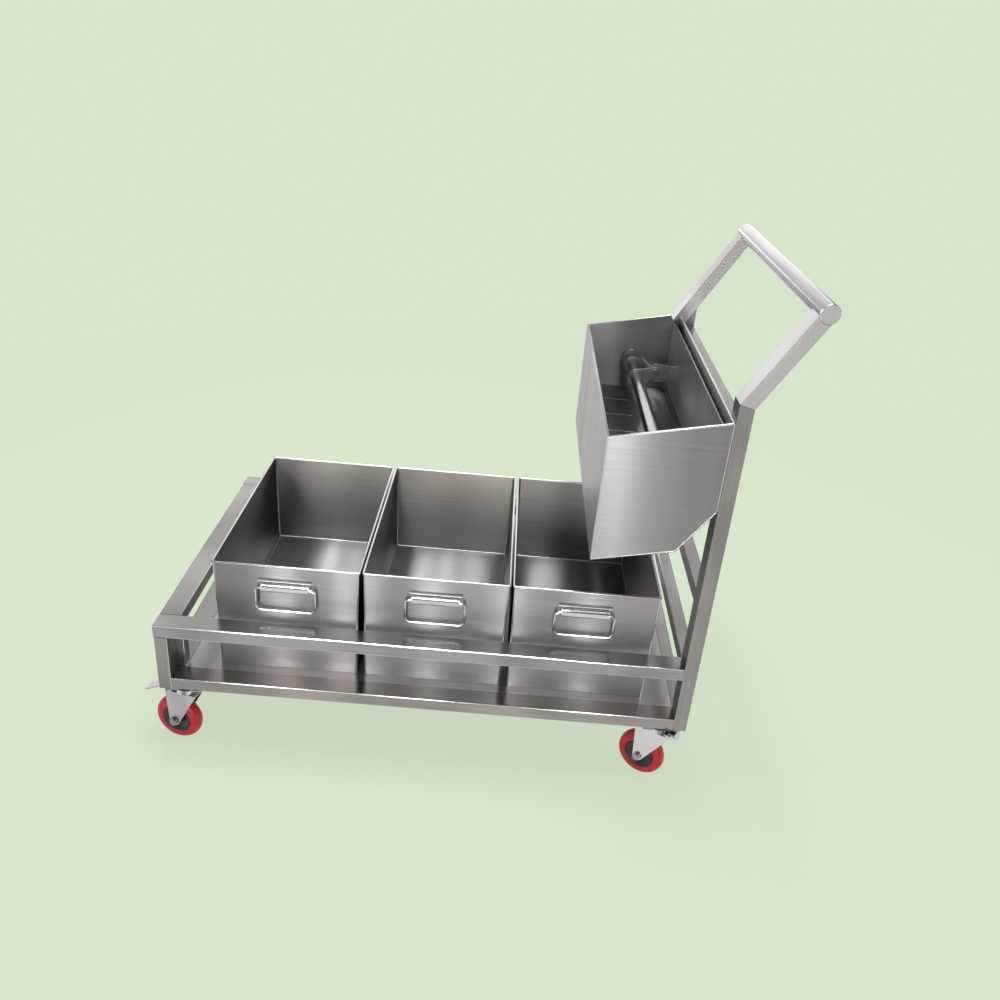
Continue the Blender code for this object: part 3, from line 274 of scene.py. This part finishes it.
# The push bar is a 32 mm polished stainless tube. It goes through both arms, and each end is
# closed with a welded disc that is ground flush and brushed with the arm.
def make_piece(name, bm, materials, body, slot, *nodes):
    """Turn a bmesh into a smooth-shaded piece that rides on a body and may stand for nodes."""
    mesh = bpy.data.meshes.new(name)
    bm.to_mesh(mesh)
    bm.free()
    mesh.shade_smooth()
    mesh.set_sharp_from_angle(angle=math.radians(32))
    for material in materials:
        mesh.materials.append(material)
    piece = bpy.data.objects.new(name, mesh)
    bpy.context.scene.collection.objects.link(piece)
    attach(piece, body)
    if nodes:
        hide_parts(*nodes)
    return piece


def spin_profile(bm, profile, axis, centre, steps, ring=True):
    """Turn a profile of (radius, place) points about an axis, into a ring or a solid round piece."""
    axis = Vector(axis).normalized()
    out = axis.orthogonal().normalized()
    centre = Vector(centre)
    corners = [bm.verts.new(centre + out * radius + axis * place) for radius, place in profile]
    closing = corners[:1] if ring else []
    edges = [bm.edges.new(pair) for pair in zip(corners, corners[1:] + closing)]
    bmesh.ops.spin(bm, geom=corners + edges, cent=centre, axis=axis, angle=2 * math.pi,
                   steps=steps, use_merge=True)
    bmesh.ops.remove_doubles(bm, verts=bm.verts, dist=0.00001)
    bmesh.ops.recalc_face_normals(bm, faces=bm.faces)


polish = brushed_steel("polished_stainless", (120, 5, 120), "#B9B9BB", "#9E9EA1", 0.11)
# The bar is polished along its length. Its pale and dark streaks, about 15 mm wide and running
# along it, are painted reflections.
bar_polish_painted_reflection = brushed_steel("polished_push_bar_painted_reflection", (120, 5, 120), "#CACACC", "#8A8A8E", 0.09, (70, 1, 70))
BAR_RADIUS, BAR_MOUTH, BAR_CHAMFER, BAR_STEPS = 0.016, 0.0152, 0.0008, 64
DISC_RADIUS, DISC_PROUD = 0.0153, 0.0006
ACROSS = (0, 1, 0)
low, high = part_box("push_bar")
bar_middle = ((low.x + high.x) / 2, 0, (low.z + high.z) / 2)
bm = bmesh.new()
spin_profile(bm, [(0, low.y), (BAR_MOUTH, low.y), (BAR_RADIUS, low.y + BAR_CHAMFER),
                  (BAR_RADIUS, high.y - BAR_CHAMFER), (BAR_MOUTH, high.y), (0, high.y)],
             ACROSS, bar_middle, BAR_STEPS, ring=False)
make_piece("push_bar_tube", bm, [bar_polish_painted_reflection], "frame", "polished_steel", "push_bar")
for side, end, inward in (("front", low.y, DISC_PROUD), ("back", high.y, -DISC_PROUD)):
    y = end - inward
    bm = bmesh.new()
    spin_profile(bm, [(0, y), (DISC_RADIUS, y), (BAR_RADIUS, y + 1.4 * inward),
                      (BAR_RADIUS, y + 2.4 * inward), (0, y + 2.4 * inward)],
                 ACROSS, bar_middle, BAR_STEPS, ring=False)
    make_piece("push_bar_" + side + "_disc", bm, [lean_tube], "frame", "frame_steel")


# The deck is a 1.5 mm sheet folded down at both long edges and let in between the lower rails.
# It is brushed along the trolley. Its pale colour is painted light that lifts the shade of the bins
# which cover most of it.
deck_steel_painted_light = brushed_steel("brushed_deck_sheet", (4, 240, 240), "#CFCDCB", "#B8B5B3", BRUSHED)
dress(deck_steel_painted_light, "deck_sheet")


# Each bin is folded from 1.5 mm stainless sheet with rounded upright corners, a welded floor over
# an open foot, and a polished rim rolled to a 4.4 mm bead. The sheet is brushed level.
# The grey drifts in upright bands that are partly tone differing at random and partly painted highlight
# streaks. The pale rounded corners are partly wear and partly painted highlight.
bin_steel = brushed_steel("brushed_bin_sheet", (5, 5, 230), "#C0BCBA", "#A9A5A2", BRUSHED, (7, 7, 0.9), 1.0,
                          edge="#E6E3E0")
# Inside, the walls are painted darker than the outside: painted shade.
bin_wall_painted_shade = brushed_steel("painted_shade_bin_inside", (5, 5, 230), "#8C8783", "#726D69", BRUSHED,
                           (6, 6, 0.8), 1.0)
bin_floor = brushed_steel("brushed_bin_floor", (5, 230, 230), "#C6C3C1", "#B0ADAA", BRUSHED, (5, 5, 5), 1.0,
                          level=True)
# The polished rims, welds and hems are painted paler than the sheet: partly polish, partly painted
# highlight along them.
rim_polish = brushed_steel("polished_bin_rim", (30, 30, 30), "#DEDDDC", "#C6C5C4", 0.20)
BIN_CORNER = 0.0045
BIN_BEAD = 0.0022
BIN_LIP = 0.0020
BIN_SHEET = 0.0015
BIN_TAPER = 0.006
BIN_WELD = 0.0016
RIM_DEPTH, ROLL_START = 0.0048, 0.00479
ROLL_STEPS, ROLL_TURN = 10, 30
FOLD_TOP, FOLD_IN = 0.0328, 0.0038
FOLD_ROUND = ((-0.0008, -0.0022), (-0.0022, -0.0008))
FOOT_ROOM, INSIDE_FROM = 0.0282, 0.029
FLOOR_MIDDLE, FLOOR_INSET, FLOOR_SHEET, FLOOR_ROUND = 0.0302, 0.023, 0.0010, 0.0004
FLOOR_WELD_RISE, FLOOR_WELD_INSET = 0.0308, 0.0098
RIM_WELD_DROP, RIM_WELD_INSET = 0.0040, 0.0050


def top_face(bm):
    """The highest level face."""
    return max((f for f in bm.faces if abs(f.normal.z) > 0.7), key=lambda f: f.calc_center_median().z)


def draw_face(bm, face, grow, rise):
    """Extrude a face, move it up by rise, and grow its outline by so much on each side."""
    made = bmesh.ops.extrude_face_region(bm, geom=[face])
    bmesh.ops.delete(bm, geom=[face], context="FACES_ONLY")
    fresh = [g for g in made["geom"] if isinstance(g, bmesh.types.BMFace)][0]
    xs = [v.co.x for v in fresh.verts]
    ys = [v.co.y for v in fresh.verts]
    middle = Vector(((min(xs) + max(xs)) / 2, (min(ys) + max(ys)) / 2, 0))
    wide, deep = max(xs) - min(xs), max(ys) - min(ys)
    swell = Matrix.Diagonal(((wide + 2 * grow) / wide, (deep + 2 * grow) / deep, 1, 1))
    bmesh.ops.transform(bm, matrix=swell, space=Matrix.Translation(-middle), verts=fresh.verts)
    bmesh.ops.translate(bm, vec=(0, 0, rise), verts=fresh.verts)
    return fresh


def weld_seam(bm, start, end, radius):
    """A straight rounded weld from one point to another, with a rounded dot at each end."""
    start, end = Vector(start), Vector(end)
    run = end - start
    turn = Vector((0, 0, 1)).rotation_difference(run).to_matrix().to_4x4()
    bmesh.ops.create_cone(bm, cap_ends=True, segments=12, radius1=radius, radius2=radius,
                          depth=run.length, matrix=Matrix.Translation((start + end) / 2) @ turn)
    for tip in (start, end):
        bmesh.ops.create_icosphere(bm, subdivisions=2, radius=radius * 1.15, matrix=Matrix.Translation(tip))


def plan_corners(low, high, inset, z):
    """The four corners of a box seen from above, moved in by inset, all at one height."""
    return [(x, y, z) for x, y in (
        (low.x + inset, low.y + inset), (high.x - inset, low.y + inset),
        (high.x - inset, high.y - inset), (low.x + inset, high.y - inset))]


for number in (1, 2, 3):
    node = "bin_" + str(number)
    low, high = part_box(node)
    centre = (low + high) / 2
    size = high - low
    wide, deep = size.x - 2 * BIN_LIP, size.y - 2 * BIN_LIP
    bm = bmesh.new()
    box_middle = Matrix.Translation((centre.x, centre.y, centre.z - RIM_DEPTH / 2))
    bmesh.ops.create_cube(bm, size=1, matrix=box_middle @ Matrix.Diagonal(
        (wide, deep, size.z - RIM_DEPTH, 1)))
    bottom = [v for v in bm.verts if v.co.z < centre.z]
    taper = Matrix.Diagonal(((wide - BIN_TAPER) / wide, (deep - BIN_TAPER) / deep, 1, 1))
    bmesh.ops.transform(bm, matrix=taper, space=Matrix.Translation((-centre.x, -centre.y, 0)),
                        verts=bottom)
    upright = [e for e in bm.edges if abs(e.verts[0].co.z - e.verts[1].co.z) > 0.1]
    bmesh.ops.bevel(bm, geom=upright, offset=BIN_CORNER, offset_type="OFFSET", segments=5,
                    profile=0.5, affect="EDGES", material=-1)
    face = top_face(bm)
    out, rise = 0.0, -ROLL_START
    for step in range(ROLL_STEPS):
        angle = math.radians(-90 + ROLL_TURN * step)
        aim = (BIN_BEAD * math.cos(angle), BIN_BEAD * (math.sin(angle) - 1))
        face = draw_face(bm, face, aim[0] - out, aim[1] - rise)
        out, rise = aim
    face = draw_face(bm, face, -FOLD_IN, FOLD_TOP - size.z - rise)
    for grow, sink in FOLD_ROUND:
        face = draw_face(bm, face, grow, sink)
    under = min((f for f in bm.faces if f.normal.z < -0.7), key=lambda f: f.calc_center_median().z)
    under = draw_face(bm, under, -BIN_SHEET, 0.0)
    draw_face(bm, under, 0.0, FOOT_ROOM)
    bmesh.ops.recalc_face_normals(bm, faces=bm.faces)
    for face in bm.faces:
        spot = face.calc_center_median()
        if spot.z > high.z - 2.1 * BIN_BEAD:
            face.material_index = 1
        elif spot.z > low.z + INSIDE_FROM and (spot - centre).dot(face.normal) < 0:
            face.material_index = 2
    make_piece(node + "_shell", bm, [bin_steel, rim_polish, bin_wall_painted_shade], node, "sheet_steel", node)

    bm = bmesh.new()
    bmesh.ops.create_cube(bm, size=1, matrix=Matrix.Translation((centre.x, centre.y, low.z + FLOOR_MIDDLE))
                          @ Matrix.Diagonal((size.x - FLOOR_INSET, size.y - FLOOR_INSET, FLOOR_SHEET, 1)))
    upper = [e for e in bm.edges if e.verts[0].co.z > low.z + FLOOR_MIDDLE < e.verts[1].co.z]
    bmesh.ops.bevel(bm, geom=upper, offset=FLOOR_ROUND, offset_type="OFFSET", segments=2,
                    profile=0.5, affect="EDGES", material=-1)
    make_piece(node + "_floor_sheet", bm, [bin_floor], node, "sheet_steel")

    bm = bmesh.new()
    floor_corners = plan_corners(low, high, FLOOR_WELD_INSET, low.z + FLOOR_WELD_RISE)
    rim_corners = plan_corners(low, high, RIM_WELD_INSET, high.z - RIM_WELD_DROP)
    for turn in range(4):
        weld_seam(bm, floor_corners[turn], floor_corners[(turn + 1) % 4], BIN_WELD)
        weld_seam(bm, floor_corners[turn], rim_corners[turn], BIN_WELD)
    make_piece(node + "_inner_welds", bm, [rim_polish], node, "sheet_steel")


# Each handle is a bent wire bail that swings in a rolled barrel, and the barrel's plate is spot
# welded to the bin under its rim. Barrel, plate and wire are satin polished stainless.
satin = brushed_steel("satin_stainless", (8, 160, 160), "#E6E4E3", "#CFCDCC", 0.18)
for number in (1, 2, 3):
    node = "bin_" + str(number)
    dress(satin, node + "_handle_bracket", node + "_bail")


# The hopper is a folded 2 mm sheet box with a slanted side, a rim turned in and hemmed, and a
# strainer floor with drain slots. Its faces are brushed level and painted a little darker, as painted
# shade for its inside, with upright bands that are partly painted highlight streaks. Its folds are
# polished, and their bright colour is partly painted highlight.
hopper_steel = brushed_steel("brushed_hopper_sheet", (5, 5, 230), "#A4A2A1", "#8F8D8C", BRUSHED,
                             (8, 6, 0.7), 1.0, edge="#B5B1AE")
dress(hopper_steel, "hopper")
low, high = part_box("hopper")
RIM_DROP = 0.041
HEM = 0.0016
SLANT_DROP, SLANT_WIDTH, FOOT_DROP = 0.160, 0.058, 0.242
STRAINER_DROP = 0.176
CORNER_WELD, CORNER_INSET, HEM_DEPTH = 0.0011, 0.0030, 0.006
SLANT_AT_STRAINER = 0.0095
left_x, right_x, front_y, back_y = low.x + HEM, high.x - HEM, low.y + HEM, high.y - HEM
left_z, right_z, left_foot = high.z - RIM_DROP - HEM, high.z - HEM, low.z + HEM
fold_z, foot_x, foot_z = high.z - SLANT_DROP, high.x - SLANT_WIDTH, high.z - FOOT_DROP + HEM
bm = bmesh.new()
rim = [(left_x, front_y, left_z), (right_x, front_y, right_z), (right_x, back_y, right_z),
       (left_x, back_y, left_z)]
for number, corner in enumerate(rim):
    weld_seam(bm, corner, rim[(number + 1) % 4], HEM * 1.2)
for y in (front_y, back_y):
    outline = [(left_x, y, left_z), (left_x, y, left_foot), (foot_x, y, foot_z), (right_x, y, fold_z),
               (right_x, y, right_z)]
    for start, end in zip(outline, outline[1:]):
        weld_seam(bm, start, end, HEM * 1.15)
for x in (low.x + CORNER_INSET, high.x - SLANT_AT_STRAINER):
    for y in (low.y + CORNER_INSET, high.y - CORNER_INSET):
        weld_seam(bm, (x, y, high.z - STRAINER_DROP), (x, y, high.z - RIM_DROP - HEM_DEPTH), CORNER_WELD)
make_piece("hopper_hems_and_seams", bm, [rim_polish], "frame", "sheet_steel")


# The wringer's works are cut from 3 and 4 mm plate and turn on a 26 mm polished shaft. The shaft
# runs in a collar on each end wall, and a headed pin joins the crank arms to the link.
# The plates are painted paler than the other steel, as painted light that lifts the shade inside the
# hopper. Their pale edges are partly wear and partly painted highlight.
plate_steel_painted_light = brushed_steel("brushed_plate", (160, 160, 20), "#D2CFCD", "#B3B0AE", 0.34, edge="#F0EFEE")
dress(plate_steel_painted_light, "near_crank_arm", "far_crank_arm", "link_plate", "press_plate")
dress(polish, "wringer_shaft")
zinc = brushed_steel("zinc_plated_steel", (40, 40, 40), "#AEB1B2", "#919496", BRUSHED, (20, 20, 20),
                     edge="#EDEEEE")
dress(zinc, "crank_pin")


# Each caster has a pressed zinc-plated fork under a plate with a ball race, a moulded red
# polyurethane tyre on a black nylon hub, a through bolt for its axle, and a pressed brake pedal.
red_tyre, tree = new_material("red_polyurethane")
spot = add_node(tree, "ShaderNodeTexCoord")
# Moulded polyurethane is glossy and even. Floor dust dulls the tread in soft spots about 15 mm across.
dust = add_node(tree, "ShaderNodeTexNoise", inputs={
    "Vector": spot.outputs["Object"], "Scale": 65.0, "Detail": 2.0, "Roughness": 0.5})
tint = add_node(tree, "ShaderNodeValToRGB", inputs={"Fac": dust.outputs["Fac"]})
tint.color_ramp.elements[0].position = 0.30
tint.color_ramp.elements[0].color = linear("#B2161E")
tint.color_ramp.elements[1].position = 0.62
tint.color_ramp.elements[1].color = linear("#C41C25")
worn = add_node(tree, "ShaderNodeMapRange", inputs={
    "Value": dust.outputs["Fac"], "From Min": 0.3, "From Max": 0.7, "To Min": 0.29, "To Max": 0.22})
rubber = add_node(tree, "ShaderNodeBsdfPrincipled", inputs={
    "Base Color": tint.outputs["Color"], "Roughness": worn.outputs[0], "IOR": 1.5})
add_node(tree, "ShaderNodeOutputMaterial", inputs={"Surface": rubber.outputs["BSDF"]})

black_hub, tree = new_material("black_nylon")
spot = add_node(tree, "ShaderNodeTexCoord")
grain = add_node(tree, "ShaderNodeTexNoise", inputs={
    "Vector": spot.outputs["Object"], "Scale": 400.0, "Detail": 2.0})
soot = add_node(tree, "ShaderNodeValToRGB", inputs={"Fac": grain.outputs["Fac"]})
soot.color_ramp.elements[0].color = linear("#151516")
soot.color_ramp.elements[1].color = linear("#2A2A2B")
pits = add_node(tree, "ShaderNodeBump", inputs={
    "Strength": 0.10, "Distance": 0.0002, "Height": grain.outputs["Fac"]})
nylon = add_node(tree, "ShaderNodeBsdfPrincipled", inputs={
    "Base Color": soot.outputs["Color"], "Roughness": 0.34, "IOR": 1.53, "Normal": pits.outputs["Normal"]})
add_node(tree, "ShaderNodeOutputMaterial", inputs={"Surface": nylon.outputs["BSDF"]})

CORNERS = ("front_left", "front_right", "back_left", "back_right")
# Points of the tyre's section and of the bolt's domed end: a radius, and a place along the axle. The
# dome's places are shares of its height.
TYRE_STEPS, DOME_STEPS, DOME_HEIGHT = 96, 32, 0.0030
DOME_SHAPE = [(0, -0.7), (0.0080, -0.7), (0.0080, 0.0), (0.0064, 0.7), (0.0040, 1.0), (0, 1.1)]
TYRE_SHAPE = [(0.0293, -0.0118), (0.0300, -0.0126), (0.0345, -0.0130), (0.0385, -0.0127), (0.0415, -0.0115),
              (0.0440, -0.0092), (0.0457, -0.0064), (0.0467, -0.0033), (0.0470, 0.0), (0.0467, 0.0033),
              (0.0457, 0.0064), (0.0440, 0.0092), (0.0415, 0.0115), (0.0385, 0.0127), (0.0345, 0.0130),
              (0.0300, 0.0126), (0.0293, 0.0118)]
for corner in CORNERS:
    for part in ("plate", "fork", "axle", "brake_pedal"):
        dress(zinc, corner + "_caster_" + part)
    dress(black_hub, corner + "_caster_hub")
    wheel = [j for j in frame["joints"] if j["name"] == corner + "_wheel_spin"][0]
    axis, centre = Vector(wheel["axis"]).normalized(), Vector(wheel["pos_m"])
    bm = bmesh.new()
    spin_profile(bm, TYRE_SHAPE, axis, centre, TYRE_STEPS)
    make_piece(corner + "_tyre", bm, [red_tyre], corner + "_wheel", "tyre_red", corner + "_caster_tyre")
    bolt = [(v.co - centre).dot(axis) for v in frame["nodes"][corner + "_caster_axle"].data.vertices]
    for side, tip in (("outer", min(bolt)), ("inner", max(bolt))):
        out = math.copysign(DOME_HEIGHT, tip)
        bm = bmesh.new()
        spin_profile(bm, [(radius, tip + out * share) for radius, share in DOME_SHAPE], axis, centre,
                     DOME_STEPS, ring=False)
        make_piece(corner + "_axle_" + side + "_dome", bm, [polish], corner + "_swivel", "zinc_steel")
